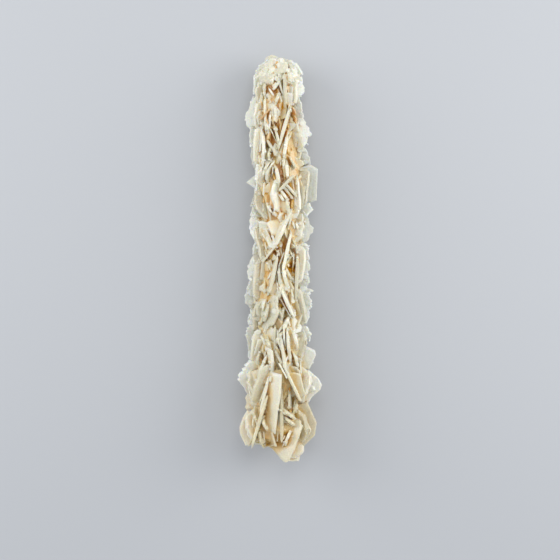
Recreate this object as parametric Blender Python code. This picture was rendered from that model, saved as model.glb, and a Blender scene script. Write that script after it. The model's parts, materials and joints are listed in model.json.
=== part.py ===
"""Barite column: thin tabular crystals grown together, edge outwards, all round one core.

The column lies on its back along Y, with its foot at -Y and its domed top at +Y. Its front faces +Z, and it
rests on the tips of its hind crystals. The origin is on the floor, z = 0, under the middle of its length.
Heights, reaches and thicknesses are in millimetres and are turned into metres when a mesh is made.
"""

import math
import random
from collections import namedtuple

import bmesh
import bpy
from mathutils import Vector

METRES = 0.001  # one millimetre

# The column
LENGTH = 160.0  # from the foot's lowest tip to the top of the dome
AXIS_Z_FOOT = 14.6  # height of the column's axis above the floor, at the foot
AXIS_Z_TOP = 10.6  # and at the top
CORE_SHARE = 0.5  # the core's radius as a share of the column's half width
CORE_LUMPS = 0.12  # how much that radius varies
CORE_SIDES = 9
CORE_ENDS = (9.0, 150.0)  # heights between which the core runs

# Its crystals
ROOT_SHARE = 0.8  # how far a crystal reaches back towards the axis, as a share of its reach
ROOT_WIDTH = 0.34  # half of a crystal's width at its root, as a share of its length
LEAST_DEPTH = 7.0
BEVEL_SHARE = 0.24  # how far the broad faces stay inside the sharp rim, as a share of the outline
THIN = 1.9  # a crystal thinner than this has its bevel on one side only
RIDGE_SHIFT = 0.22  # how far a thick one's rim strays from its middle plane, as a share of its thickness
CORNER_SHIFT = 0.02  # how far an outline's corners stray, as a share of the crystal's size
SUNK_ENDS = 1.08  # a front crystal's length for each millimetre seen, as its ends are sunk in the column
SIDE_LEAN = 20  # the broad side crystals lean up to this many degrees to the front or to the back
SIDE_LEAN_RHYTHM = 2.1  # radians for each millimetre of height, so that neighbours lean differently
FLOOR_GAP = 0.3  # least height of a hind crystal that the column doesn't rest on
SEED = 4417

CREAM = (0.76, 0.68, 0.50, 1.0)
ROUGHNESS = 0.42

# The column's outline: height up the column, sideways place of its middle, and half its width.
Station = namedtuple("Station", "height middle half_width")
STATIONS = (
    Station(0, 3.0, 6.0),
    Station(6, 0.0, 10.5),
    Station(14, -1.0, 14.6),
    Station(24, -1.0, 12.4),
    Station(32, 0.0, 15.0),
    Station(40, -0.5, 13.2),
    Station(50, -0.8, 11.8),
    Station(62, -1.0, 12.4),
    Station(75, -0.3, 11.8),
    Station(88, -0.3, 11.0),
    Station(100, 0.0, 11.6),
    Station(112, 0.5, 12.0),
    Station(125, -0.5, 11.4),
    Station(137, -1.8, 10.6),
    Station(150, -1.2, 9.6),
    Station(157, -0.8, 7.4),
    Station(160, -2.2, 4.0),
)

# Outlines of the crystals' broad faces: (share of the length, share of the depth), the rim's tip being at 1.
LEAF = ((-0.50, 0.62), (-0.24, 0.96), (0.20, 1.0), (0.50, 0.66), (0.36, 0.0), (-0.36, 0.0))
BLADE = ((-0.50, 0.80), (-0.38, 0.98), (0.42, 1.0), (0.50, 0.76), (0.36, 0.0), (-0.36, 0.0))
SLAB = ((-0.50, 0.97), (0.50, 1.0), (0.46, 0.0), (-0.46, 0.0))
LOZENGE = ((-0.50, 0.46), (-0.10, 1.0), (0.16, 0.96), (0.50, 0.46), (0.34, 0.0), (-0.34, 0.0))
LOBE = ((-0.50, 0.50), (-0.40, 0.84), (0.0, 1.0), (0.38, 0.86), (0.50, 0.52), (0.34, 0.0), (-0.34, 0.0))

# A crystal by its tip and its pose. The height and the reach (distance from the axis) place the tip, and the
# bearing turns it round the axis: 0 is the front, 90 the right side (+X), 180 the back, -90 the left side.
# The pitch tips it up the column, the lean turns its edge to the right, and the twist shows a broad face.
Crystal = namedtuple("Crystal", "height bearing reach length thickness form lean pitch twist")


def crystal(height, bearing, reach, length, thickness, form, lean=0, pitch=0, twist=0):
    return Crystal(height, bearing, reach, length, thickness, form, lean, pitch, twist)


def station_at(height):
    """The column's outline at any height, between the stations on either side of it."""
    if height >= STATIONS[-1].height:
        return STATIONS[-1]
    for lower, upper in zip(STATIONS, STATIONS[1:]):
        if height < upper.height:
            break
    share = max(0.0, (height - lower.height) / (upper.height - lower.height))
    middle = lower.middle + share * (upper.middle - lower.middle)
    half_width = lower.half_width + share * (upper.half_width - lower.half_width)
    return Station(height, middle, half_width)


def axis_point(height):
    """The point of the column's axis at a height, in millimetres in the part's frame."""
    rise = AXIS_Z_FOOT + (AXIS_Z_TOP - AXIS_Z_FOOT) * height / LENGTH
    return Vector((station_at(height).middle, height - LENGTH / 2, rise))


def front(height, bearing, lean, length, thickness, proud=1.0, form=LEAF, twist=0):
    """A crystal of the front, whose tip stands at a share of the column's half width."""
    reach = proud * station_at(height).half_width
    return crystal(height, bearing, reach, length * SUNK_ENDS, thickness, form, lean, 0, twist)


def sheet(thickness, turn, *rim):
    """A broad crystal of the outline, from the corners of its rim, (height, sideways), from the top down."""
    height = (rim[0][0] + rim[-1][0]) / 2
    length = rim[0][0] - rim[-1][0]
    stretch = 1 / math.cos(math.radians(turn))
    reaches = [abs(sideways - station_at(up).middle) * stretch for up, sideways in rim]
    reach = max(reaches)
    depth = ROOT_SHARE * reach
    form = [((up - height) / length, 1 - (reach - out) / depth) for (up, _), out in zip(rim, reaches)]
    form += [(-ROOT_WIDTH, 0.0), (ROOT_WIDTH, 0.0)]
    bearing = math.copysign(90 - turn, rim[0][1])
    lean = SIDE_LEAN * math.sin(height * SIDE_LEAN_RHYTHM)
    return crystal(height, bearing, reach, length, thickness, form, lean)


def inner(height, bearing, length, thickness, form=LOBE, proud=1.0, pitch=0):
    """A broad crystal between the front and the outline."""
    reach = proud * station_at(height).half_width
    lean = SIDE_LEAN * math.sin(height * SIDE_LEAN_RHYTHM)
    return crystal(height, bearing, reach, length, thickness, form, lean, pitch)


# The crystals that cross each other up the front, from the top down.
FRONT = (
    front(147, -4, 38, 6.5, 1.2, 1.02),
    front(146, -34, 3, 8, 1.3, 0.95),
    front(145, 23, -8, 13, 2.3, 0.98, BLADE),
    front(143, 3, 24, 6.5, 1.3, 1.02),
    front(138, -10, -3, 8, 1.1, 0.9),
    front(136, -2, -5, 9, 1.2, 0.92),
    front(131, 15, 15, 16, 2.1, 1.05, BLADE),
    front(127, -3, -12, 9.5, 1.2),
    front(125, -38, -9, 15, 2.1, 0.97, BLADE),
    front(124, 14, 9, 12.5, 1.5, 0.95),
    front(116, 8, -3, 13.5, 1.3, 0.86),
    front(115, 13, -2, 9, 1.7, 0.97),
    front(115, -33, 26, 9, 1.3, 1.02),
    front(113, -9, -12, 11, 2.1, 1.04),
    front(113, -28, 18, 9.5, 2.0, 0.98, LEAF, -14),
    front(110, 9, 45, 7.5, 1.2, 1.07, SLAB),
    front(105, 39, 5, 13, 2.4, 0.92, BLADE, 20),
    front(103, -10, -7, 14, 2.8, 1.05, LEAF, -16),
    front(100, 16, -11, 10, 1.8, 1.03),
    front(92, 3, 25, 15, 2.6, 1.06, BLADE, 16),
    front(87, -26, -19, 8, 1.6, 0.93),
    front(84, 40, -23, 7, 1.1, 0.97),
    front(83, 15, 14, 15.5, 1.5, 1.06, BLADE),
    front(83, -20, 39, 8.5, 0.9, 1.02, SLAB),
    front(74, -15, 13, 14.5, 2.4, 1.0, BLADE),
    front(73, 12, -15, 11, 1.2, 1.03),
    front(73, 1, -3, 12.5, 1.4, 0.95),
    front(72, 41, -2, 17, 1.7, 0.93, BLADE),
    front(66, -1, 24, 6.5, 2.0, 0.97, SLAB),
    front(63, 20, -25, 11, 1.8, 1.05, SLAB),
    front(59, 10, 11, 8, 1.6, 0.94),
    front(58, -26, 22, 9, 1.2),
    front(58, -8, 19, 13, 2.9, 1.04, LEAF, 14),
    front(50, 3, 27, 8, 1.7, 1.05),
    front(50, 37, -13, 11, 1.4, 0.98),
    front(49, -11, 0, 8.5, 2.0, 0.88, SLAB),
    front(45, 20, -9, 17, 1.4, 1.02),
    front(44, 10, -7, 16, 1.8, 1.03, BLADE),
    front(42, -1, -27, 7, 2.0, 0.93, SLAB, 20),
    front(41, 34, -19, 8.5, 1.2, 0.98),
    front(41, -43, 11, 7, 1.2, 1.0),
    front(40, -16, -1, 10.5, 2.4, 0.97, SLAB, 12),
    front(39, -32, 25, 7.5, 1.6, 0.97),
    front(33, 18, -24, 14, 1.3, 1.05, SLAB),
    front(32, -37, 22, 15, 2.4, 1.03, BLADE, -12),
    front(28, -27, 13, 15.5, 1.4, 0.98, BLADE),
    front(25, -6, 5, 24.5, 3.4, 1.05, SLAB, 12),
    front(23, 37, 24, 6.5, 1.6, 0.98),
    front(20, 9, -1, 19, 2.0, 0.92, SLAB),
    front(20, 22, -50, 7.5, 1.4, 1.03),
    front(17, 24, -52, 7, 1.6, 1.0),
    front(19, -46, -18, 7, 1.4, 1.0),
    front(17, -32, 13, 21.5, 2.0, 1.06, BLADE),
    front(12, 18, 28, 7.5, 1.2, 0.96),
    front(10, -37, -14, 8, 1.4, 0.98),
    front(9, 27, 17, 15.5, 2.0, 1.05, BLADE),
)

# The broad crystals of the left outline, from the top down.
LEFT = (
    sheet(1.8, 8, (158.5, -6.3), (156.0, -8.8), (151.5, -10.6), (144.0, -11.1)),
    sheet(1.4, 6, (143.8, -10.6), (140.0, -12.2), (136.5, -13.9), (133.8, -13.5), (131.4, -11.8)),
    sheet(1.3, 10, (132.0, -12.3), (127.0, -12.0), (123.5, -11.6)),
    sheet(1.3, 4, (124.5, -12.0), (119.0, -11.4), (115.4, -10.3)),
    sheet(1.3, 12, (117.0, -10.3), (106.5, -9.4)),
    sheet(1.2, 4, (113.5, -9.6), (110.2, -13.5), (106.4, -9.0)),
    sheet(1.3, 8, (106.2, -9.2), (103.0, -10.3), (97.4, -12.3), (95.8, -11.4)),
    sheet(1.5, 10, (97.4, -11.2), (94.5, -12.4), (91.0, -12.0), (87.0, -10.2)),
    sheet(1.3, 6, (88.5, -10.2), (81.6, -11.0)),
    sheet(1.3, 8, (82.0, -10.9), (78.0, -12.6), (73.3, -13.1), (71.2, -12.2)),
    sheet(1.4, 5, (71.6, -12.4), (67.8, -13.4), (63.2, -14.3), (60.6, -11.8)),
    sheet(1.2, 9, (60.4, -11.7), (55.8, -13.1), (53.4, -12.4)),
    sheet(1.4, 6, (54.2, -12.6), (52.0, -14.0), (49.8, -13.8), (44.0, -12.6)),
    sheet(1.2, 10, (44.6, -12.4), (41.6, -13.1), (39.6, -12.4)),
    sheet(1.9, 7, (41.2, -12.5), (38.0, -14.5), (34.8, -16.5), (32.0, -16.4), (26.4, -13.2)),
    sheet(1.4, 10, (27.2, -13.3), (23.5, -13.9), (19.6, -13.2)),
    sheet(2.4, 6, (20.4, -13.3), (17.4, -15.0), (13.5, -16.3), (10.8, -15.9), (6.4, -13.0)),
)

# The broad crystals of the right outline, from the top down.
RIGHT = (
    sheet(1.6, 10, (158.2, 4.2), (156.8, 7.6), (151.8, 8.4)),
    sheet(1.3, 8, (152.2, 8.1), (150.9, 9.1), (146.2, 9.2), (143.4, 7.8)),
    sheet(1.3, 12, (144.0, 7.6), (138.0, 8.7), (134.4, 9.0)),
    sheet(1.4, 8, (135.8, 8.7), (132.3, 10.7), (129.3, 12.3), (127.4, 10.8), (123.2, 9.5)),
    sheet(1.3, 6, (123.6, 9.4), (120.6, 11.0), (117.6, 11.9), (115.2, 11.4)),
    sheet(1.6, 5, (117.4, 11.6), (115.4, 14.8), (109.0, 14.4), (102.9, 13.9), (101.9, 11.6)),
    sheet(1.2, 8, (102.4, 11.5), (99.6, 13.1), (96.4, 10.6)),
    sheet(1.3, 6, (96.8, 10.6), (93.5, 11.8), (91.4, 13.1), (86.2, 10.2)),
    sheet(1.3, 9, (86.6, 10.2), (84.5, 11.5), (79.4, 11.0)),
    sheet(1.3, 5, (79.8, 10.8), (76.5, 11.9), (74.4, 11.0)),
    sheet(1.2, 9, (75.0, 10.9), (72.0, 11.5), (68.0, 10.2)),
    sheet(0.9, 4, (68.8, 9.8), (67.7, 13.1), (66.6, 9.8)),
    sheet(1.4, 8, (66.2, 10.8), (63.4, 12.7), (61.4, 12.3), (60.0, 11.0)),
    sheet(1.3, 5, (60.8, 10.8), (57.8, 11.6), (53.8, 10.6)),
    sheet(1.4, 8, (54.4, 10.6), (51.0, 12.3), (49.0, 11.9), (46.0, 10.2)),
    sheet(1.7, 6, (46.3, 9.9), (44.2, 13.6), (42.6, 14.1), (36.2, 11.7)),
    sheet(2.0, 8, (36.6, 11.2), (33.2, 15.3), (30.4, 16.5), (28.3, 15.9), (23.4, 11.2)),
    sheet(2.4, 8, (24.0, 10.8), (19.6, 12.7), (15.8, 14.4), (11.4, 14.0), (6.0, 10.0)),
)

# The broad crystals that show a face between the front and the outline, left and then right.
BETWEEN = (
    inner(145, -62, 10, 1.6, LOBE, 0.98),
    inner(136, -56, 12, 1.4),
    inner(124, -60, 15, 1.6, BLADE),
    inner(112, -60, 11, 1.5, LOZENGE),
    inner(101, -58, 13, 1.5, LOBE, 1.0, -10),
    inner(86, -56, 14, 1.6, BLADE, 0.96),
    inner(72, -58, 15, 1.6, BLADE),
    inner(58, -58, 13, 1.6, LOBE),
    inner(46, -60, 13, 1.5, BLADE),
    inner(32, -64, 13, 1.9, LOBE, 0.98),
    inner(14, -62, 14, 2.4, LOBE, 0.98, -8),
    inner(145, 54, 10, 1.5, BLADE, 0.98),
    inner(128, 58, 13, 1.5, LOBE),
    inner(108, 62, 14, 1.5, BLADE, 1.02),
    inner(93, 58, 13, 1.5, LOBE),
    inner(78, 58, 14, 1.6, BLADE, 0.98),
    inner(62, 60, 15, 1.6, BLADE, 0.96),
    inner(46, 60, 13, 1.6, LOBE),
    inner(31, 60, 13, 1.9, LOBE, 0.94, -6),
    inner(14, 58, 15, 2.4, LOBE, 0.96, -10),
)

# The crystals that close the foot, and those that make the dome on top.
FOOT = (
    crystal(0.0, 70, 1.6, 6.6, 3.2, BLADE, 0, -84),
    crystal(1.4, 60, 4.4, 9, 2.6, LOBE, 24, -66),
    crystal(1.8, 118, 4.4, 9, 2.4, LOBE, -20, -64),
    crystal(3.0, 10, 5.4, 10, 2.2, LOBE, 30, -64),
    crystal(4.0, 172, 6.0, 11, 2.4, LOBE, -28, -62),
    crystal(5.5, -90, 5.8, 10, 2.8, SLAB, 10, -86),
    crystal(6.4, -52, 8.6, 12, 2.4, LOBE, 24, -62),
    crystal(6.4, -134, 9.0, 12, 2.4, LOBE, -20, -60),
)
DOME = (
    crystal(160.0, -90, 1.2, 6, 2.2, LOBE, 0, 88),
    crystal(158.9, 80, 3.0, 7, 1.9, LOBE, 22, 76),
    crystal(158.8, -80, 3.6, 7, 1.9, LOBE, -20, 66),
    crystal(157.8, 20, 5.2, 8, 1.9, LOBE, 8, 56),
    crystal(157.0, -30, 6.0, 8, 1.9, LOBE, -12, 48),
    crystal(157.8, 130, 5.0, 8, 1.9, LOBE, 14, 56),
    crystal(157.0, -150, 5.6, 8, 1.9, LOBE, -14, 52),
    crystal(153.0, 5, 8.2, 8, 1.9, LOBE, -6, 26),
    crystal(152.5, -38, 8.6, 8, 1.9, LOBE, 12, 22),
    crystal(152.5, 42, 8.4, 8, 1.9, LOBE, -14, 24),
)

# The hind crystals whose tips the column rests on.
SEATS = (
    crystal(16, 148, 16.0, 15, 2.4, SLAB, 8),
    crystal(20, -146, 16.0, 14, 2.4, SLAB, -10),
    crystal(36, 178, 15.0, 13, 2.2, SLAB, 14),
    crystal(88, 168, 12.6, 13, 2.0, SLAB, -12),
    crystal(128, 152, 12.4, 12, 1.9, SLAB, 10),
    crystal(134, -154, 12.0, 12, 1.9, SLAB, -12),
)

# The crystals grown over the sides and the back: one row round the column at each of these heights.
ROW_HEIGHTS = (144, 133, 122, 111, 100, 89, 79, 69, 59, 49, 39, 29, 19)
ROW_BEARINGS = (108, 138, 168, 198, 228, 256)
ROW_SHIFT = 12  # degrees that every second row is turned
SIDE_INSET = 1.6  # how far the hind crystals at the sides stay inside the outline
HIND_LENGTHS = (9, 16)
HIND_THICKNESSES = (1.2, 2.0)
HIND_LEANS = (12, 34)  # degrees, to one side or the other
HIND_TWIST = 10
HIND_FORMS = (LEAF, BLADE, LOBE, LOZENGE, SLAB)


def hind_crystals(chance):
    """Crystals of like sizes spread over the sides and the back, no two rows in line."""
    found = []
    for row, height in enumerate(ROW_HEIGHTS):
        for bearing in ROW_BEARINGS:
            turned = bearing + (ROW_SHIFT if row % 2 else 0) + chance.uniform(-6, 6)
            place = height + chance.uniform(-3.5, 3.5)
            inset = SIDE_INSET * abs(math.sin(math.radians(turned)))
            reach = station_at(place).half_width * chance.uniform(0.92, 1.06) - inset
            length = chance.uniform(*HIND_LENGTHS)
            thickness = chance.uniform(*HIND_THICKNESSES)
            lean = chance.uniform(*HIND_LEANS) * chance.choice((-1, 1))
            form = chance.choice(HIND_FORMS)
            twist = chance.uniform(-HIND_TWIST, HIND_TWIST)
            found.append(crystal(place, turned, reach, length, thickness, form, lean, 0, twist))
    return tuple(found)


def crystal_axes(one):
    """The crystal's outward, along and across directions."""
    bearing = math.radians(one.bearing)
    pitch = math.radians(one.pitch)
    lean = math.radians(one.lean)
    twist = math.radians(one.twist)
    radial = Vector((math.sin(bearing), 0, math.cos(bearing)))
    column = Vector((0, 1, 0))
    outward = radial * math.cos(pitch) + column * math.sin(pitch)
    along = column * math.cos(pitch) - radial * math.sin(pitch)
    across = along.cross(outward)
    along, across = (
        along * math.cos(lean) + across * math.sin(lean),
        across * math.cos(lean) - along * math.sin(lean),
    )
    outward, across = (
        outward * math.cos(twist) + across * math.sin(twist),
        across * math.cos(twist) - outward * math.sin(twist),
    )
    return outward, along, across


def crystal_tip(one):
    bearing = math.radians(one.bearing)
    return axis_point(one.height) + one.reach * Vector((math.sin(bearing), 0, math.cos(bearing)))


def rough_outline(form, chance):
    """An outline with each corner moved a little, so that no two crystals are alike."""
    moved = []
    for along, out in form:
        along += chance.uniform(-CORNER_SHIFT, CORNER_SHIFT)
        out -= chance.uniform(0, CORNER_SHIFT)
        moved.append((along, out))
    return moved


def crystal_rings(one, chance):
    """The rim of a crystal and its broad faces: two rings of points for a thin one, three for a thick one."""
    outward, along, across = crystal_axes(one)
    depth = max(ROOT_SHARE * abs(one.reach), LEAST_DEPTH)
    outline = rough_outline(one.form, chance)
    centre_a = sum(a for a, _ in outline) / len(outline)
    centre_o = sum(o for _, o in outline) / len(outline)
    tip = crystal_tip(one)
    ridge = chance.uniform(-RIDGE_SHIFT, RIDGE_SHIFT) * one.thickness
    half = one.thickness / 2

    def ring(share, offset):
        points = []
        for a, o in outline:
            forth = (centre_a + (a - centre_a) * share) * one.length
            out = (centre_o + (o - centre_o) * share - 1) * depth
            points.append(tip + along * forth + outward * out + across * offset)
        return points

    inner = 1 - BEVEL_SHARE
    if one.thickness < THIN:
        return ring(inner, half), ring(1, -half)
    return ring(inner, half), ring(1, ridge), ring(inner, -half)


def floor_lift(points, rests):
    """How far up the points move to clear the floor, or to touch it if the column rests on them."""
    lowest = min(point.z for point in points)
    if rests:
        return -lowest
    return max(0.0, FLOOR_GAP - lowest)


def add_crystal(mesh, one, chance, rests=False):
    """One closed, bevelled plate."""
    rings = crystal_rings(one, chance)
    lift = Vector((0, 0, floor_lift([point for ring in rings for point in ring], rests)))
    corners = [[mesh.verts.new((point + lift) * METRES) for point in ring] for ring in rings]
    mesh.faces.new(corners[0])
    mesh.faces.new(reversed(corners[-1]))
    for upper, lower in zip(corners, corners[1:]):
        for i in range(len(upper)):
            j = (i + 1) % len(upper)
            mesh.faces.new((lower[i], lower[j], upper[j], upper[i]))


def mesh_object(name, mesh):
    bmesh.ops.recalc_face_normals(mesh, faces=mesh.faces)
    data = bpy.data.meshes.new(name)
    mesh.to_mesh(data)
    mesh.free()
    made = bpy.data.objects.new(name, data)
    bpy.context.scene.collection.objects.link(made)
    return made


def core_object(chance):
    """The lumpy rod in the middle, which every crystal is rooted in."""
    mesh = bmesh.new()
    low, high = CORE_ENDS
    heights = [low] + [s.height for s in STATIONS if low < s.height < high] + [high]
    rings = []
    for height in heights:
        centre = axis_point(height)
        width = station_at(height).half_width
        ring = []
        for i in range(CORE_SIDES):
            turn = math.tau * i / CORE_SIDES
            radius = CORE_SHARE * width * chance.uniform(1 - CORE_LUMPS, 1 + CORE_LUMPS)
            spot = centre + radius * Vector((math.cos(turn), 0, math.sin(turn)))
            ring.append(mesh.verts.new(spot * METRES))
        rings.append(ring)
    for lower, upper in zip(rings, rings[1:]):
        for i in range(CORE_SIDES):
            j = (i + 1) % CORE_SIDES
            mesh.faces.new((lower[i], lower[j], upper[j], upper[i]))
    mesh.faces.new(rings[0])
    mesh.faces.new(rings[-1])
    bmesh.ops.triangulate(mesh, faces=mesh.faces)
    return mesh_object("barite_column", mesh)


def clear_scene():
    for old in list(bpy.data.objects):
        bpy.data.objects.remove(old, do_unlink=True)


def barite_material():
    material = bpy.data.materials.new("barite")
    material.use_nodes = True
    shader = material.node_tree.nodes["Principled BSDF"]
    shader.inputs["Base Color"].default_value = CREAM
    shader.inputs["Roughness"].default_value = ROUGHNESS
    shader.inputs["Metallic"].default_value = 0.0
    return material


def loose_crystals(crystals, chance):
    """Every crystal as a body of its own, all in one object."""
    mesh = bmesh.new()
    for one in crystals:
        add_crystal(mesh, one, chance, one in SEATS)
    return mesh_object("crystals", mesh)


def grow_together(column, crystals):
    """Union of the core and the crystals, and of the crystals with each other."""
    union = column.modifiers.new("grown together", "BOOLEAN")
    union.operation = "UNION"
    union.solver = "EXACT"
    union.use_self = True
    union.object = crystals
    graph = bpy.context.evaluated_depsgraph_get()
    data = bpy.data.meshes.new_from_object(column.evaluated_get(graph))
    column.modifiers.clear()
    column.data = data
    bpy.data.objects.remove(crystals, do_unlink=True)


def fill_hollows(column):
    """Keeps the outer skin only, which fills the small spaces closed in between crossing crystals."""
    mesh = bmesh.new()
    mesh.from_mesh(column.data)
    islands = mesh_islands(mesh)
    skin = max(islands, key=len)
    inside = [face for island in islands if island is not skin for face in island]
    bmesh.ops.delete(mesh, geom=inside, context="FACES")
    bmesh.ops.triangulate(mesh, faces=mesh.faces)
    mesh.to_mesh(column.data)
    mesh.free()


def mesh_islands(mesh):
    """The mesh's faces, in groups that hang together by their edges."""
    unseen = set(mesh.faces)
    islands = []
    while unseen:
        border = [unseen.pop()]
        island = []
        while border:
            face = border.pop()
            island.append(face)
            for edge in face.edges:
                for other in edge.link_faces:
                    if other in unseen:
                        unseen.remove(other)
                        border.append(other)
        islands.append(island)
    return islands


def main():
    clear_scene()
    chance = random.Random(SEED)
    column = core_object(chance)
    crystals = SEATS + FRONT + LEFT + RIGHT + BETWEEN + FOOT + DOME + hind_crystals(chance)
    grow_together(column, loose_crystals(crystals, chance))
    fill_hollows(column)
    column.data.materials.clear()
    column.data.materials.append(barite_material())


main()
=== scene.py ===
"""Barite column on a pale floor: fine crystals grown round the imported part's space, lamps and camera.

Each crystal is a thin bevelled plate that stands edge outwards round one core. Broad crystals carry thinner
ones that grew against their faces and small teeth along their rims, and all of them are fused into one skin.
Heights, reaches and thicknesses are in millimetres; a mesh is made in metres.
"""

import json
import math
import random
from collections import namedtuple

import bmesh
import bpy
import numpy as np
from mathutils import Matrix, Vector
from mathutils.bvhtree import BVHTree

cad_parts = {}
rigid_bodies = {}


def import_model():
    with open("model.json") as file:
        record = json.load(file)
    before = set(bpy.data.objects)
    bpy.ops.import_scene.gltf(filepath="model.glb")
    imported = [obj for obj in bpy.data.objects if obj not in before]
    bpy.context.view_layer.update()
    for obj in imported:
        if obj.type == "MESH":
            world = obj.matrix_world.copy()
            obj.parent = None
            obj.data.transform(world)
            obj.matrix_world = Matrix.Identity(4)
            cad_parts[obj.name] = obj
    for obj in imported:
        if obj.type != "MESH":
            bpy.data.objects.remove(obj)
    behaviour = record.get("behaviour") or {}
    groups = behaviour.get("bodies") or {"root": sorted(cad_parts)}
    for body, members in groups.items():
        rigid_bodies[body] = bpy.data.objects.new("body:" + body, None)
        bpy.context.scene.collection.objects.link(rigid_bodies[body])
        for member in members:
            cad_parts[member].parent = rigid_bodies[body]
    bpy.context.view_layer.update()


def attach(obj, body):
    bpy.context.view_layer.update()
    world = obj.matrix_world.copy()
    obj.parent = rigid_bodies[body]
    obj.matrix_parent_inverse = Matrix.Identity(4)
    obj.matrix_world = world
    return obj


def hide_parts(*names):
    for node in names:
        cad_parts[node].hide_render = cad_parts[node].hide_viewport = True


bl_info = {
    "name": "Barite column",
    "version": (1, 0, 0),
    "blender": (4, 5, 0),
    "location": "View3D > Sidebar > Barite",
    "description": "Builds a column of intergrown barite crystals and a plain stage for it",
    "category": "Object",
}

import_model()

METRES = 0.001  # one millimetre
NODE = "barite_column"

# The column
LENGTH = 160.0  # from the foot's lowest tip to the top of the dome
AXIS_Z_FOOT = 14.6  # height of the column's axis above the floor, at the foot
AXIS_Z_TOP = 10.6  # and at the top
CORE_SHARE = 0.5  # the core's radius as a share of the column's half width
CORE_LUMPS = 0.12  # how much that radius varies
CORE_SIDES = 9
CORE_ENDS = (9.0, 150.0)  # heights between which the core runs
CORE_FILL = 1.38  # small growth between the roots makes the core fuller than the part's

# Its large crystals
ROOT_SHARE = 0.8  # how far a crystal reaches back towards the axis, as a share of its reach
ROOT_WIDTH = 0.34  # half of a crystal's width at its root, as a share of its length
LEAST_DEPTH = 7.0
SUNK_ENDS = 1.14  # a front crystal's length for each millimetre seen, as its ends are sunk in the column
SIDE_LEAN = 20  # the broad side crystals lean up to this many degrees to the front or to the back
SIDE_LEAN_RHYTHM = 2.1  # radians for each millimetre of height, so that neighbours lean differently
EDGE_SHARE = 0.7  # a front crystal's thickness as a share of the width that it shows, edge and face together
EDGE_MOST = 1.4  # but it is never thicker than this
SEEN_DEPTH = 4.4  # how far behind its rim a front crystal's face can be seen
STEEPEST = 0.7  # sine of the most that a front crystal turns to show its face
FACING_SHARE = 0.3  # of its bearing that a front crystal turns back by, to stand edge to the front
FRONT_PITCH = 12  # the front crystals lean up to this many degrees up or down the column
FRONT_PITCH_RHYTHM = 4.3  # radians for each millimetre of height
SEED = 4417

# The column's outline: height up the column, sideways place of its middle, and half its width.
Station = namedtuple("Station", "height middle half_width")
STATIONS = [Station(*row) for row in (
    (0, 3.0, 6.0),
    (6, 0.0, 10.5),
    (14, -1.0, 14.6),
    (24, -1.0, 12.4),
    (32, 0.0, 15.0),
    (40, -0.5, 13.2),
    (50, -0.8, 11.8),
    (62, -1.0, 12.4),
    (75, -0.3, 11.8),
    (88, -0.3, 11.0),
    (100, 0.0, 11.6),
    (112, 0.5, 12.0),
    (125, -0.5, 11.4),
    (137, -1.8, 10.6),
    (150, -1.2, 9.6),
    (157, -0.8, 7.4),
    (160, -2.2, 4.0),
)]

# Outlines of the crystals' broad faces: (share of the length, share of the depth), the rim's tip being at 1.
LEAF = ((-0.50, 0.56), (-0.22, 0.95), (0.18, 1.0), (0.50, 0.60), (0.36, 0.0), (-0.36, 0.0))
BLADE = ((-0.50, 0.80), (-0.38, 0.98), (0.42, 1.0), (0.50, 0.76), (0.36, 0.0), (-0.36, 0.0))
SLAB = ((-0.50, 0.97), (0.50, 1.0), (0.46, 0.0), (-0.46, 0.0))
LOZENGE = ((-0.50, 0.46), (-0.10, 1.0), (0.16, 0.96), (0.50, 0.46), (0.34, 0.0), (-0.34, 0.0))
LOBE = ((-0.50, 0.50), (-0.40, 0.84), (0.0, 1.0), (0.38, 0.86), (0.50, 0.52), (0.34, 0.0), (-0.34, 0.0))
CHIP = ((-0.50, 0.40), (-0.14, 1.0), (0.28, 0.92), (0.50, 0.36), (0.30, 0.0), (-0.30, 0.0))

# A crystal by its tip and its pose. The height and the reach (distance from the axis) place the tip, and the
# bearing turns it round the axis: 0 is the front, 90 the right side (+X), 180 the back, -90 the left side.
# The pitch tips it up the column, the lean turns its edge to the right, and the twist shows a broad face.
Crystal = namedtuple(
    "Crystal", "height bearing reach length thickness form lean pitch twist", defaults=(0, 0, 0))


def station_at(height):
    """The column's outline at any height, between the stations on either side of it."""
    if height >= STATIONS[-1].height:
        return STATIONS[-1]
    for lower, upper in zip(STATIONS, STATIONS[1:]):
        if height < upper.height:
            break
    share = max(0.0, (height - lower.height) / (upper.height - lower.height))
    middle = lower.middle + share * (upper.middle - lower.middle)
    half_width = lower.half_width + share * (upper.half_width - lower.half_width)
    return Station(height, middle, half_width)


def axis_point(height):
    """The point of the column's axis at a height, in millimetres in the part's frame."""
    rise = AXIS_Z_FOOT + (AXIS_Z_TOP - AXIS_Z_FOOT) * height / LENGTH
    return Vector((station_at(height).middle, height - LENGTH / 2, rise))


def front(height, bearing, lean, length, width, proud=1.0, form=LEAF, side=0):
    """A crystal of the front, whose tip stands at a share of the column's half width.

    It shows its edge and, for the rest of its width, the face on one side: 1 or -1, or the inner one for 0.
    """
    reach = proud * station_at(height).half_width
    thickness = min(width * EDGE_SHARE, EDGE_MOST)
    side = side or -math.copysign(1, bearing)
    turn = math.asin(min(STEEPEST, (width - thickness) / SEEN_DEPTH))
    bearing += side * math.degrees((width - thickness) / 2 / reach)
    twist = side * math.degrees(turn) - FACING_SHARE * bearing
    pitch = FRONT_PITCH * math.sin((height + lean) * FRONT_PITCH_RHYTHM)
    return Crystal(height, bearing, reach, length * SUNK_ENDS, thickness, form, lean, pitch, twist)


def side_lean(height):
    return SIDE_LEAN * math.sin(height * SIDE_LEAN_RHYTHM)


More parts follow.
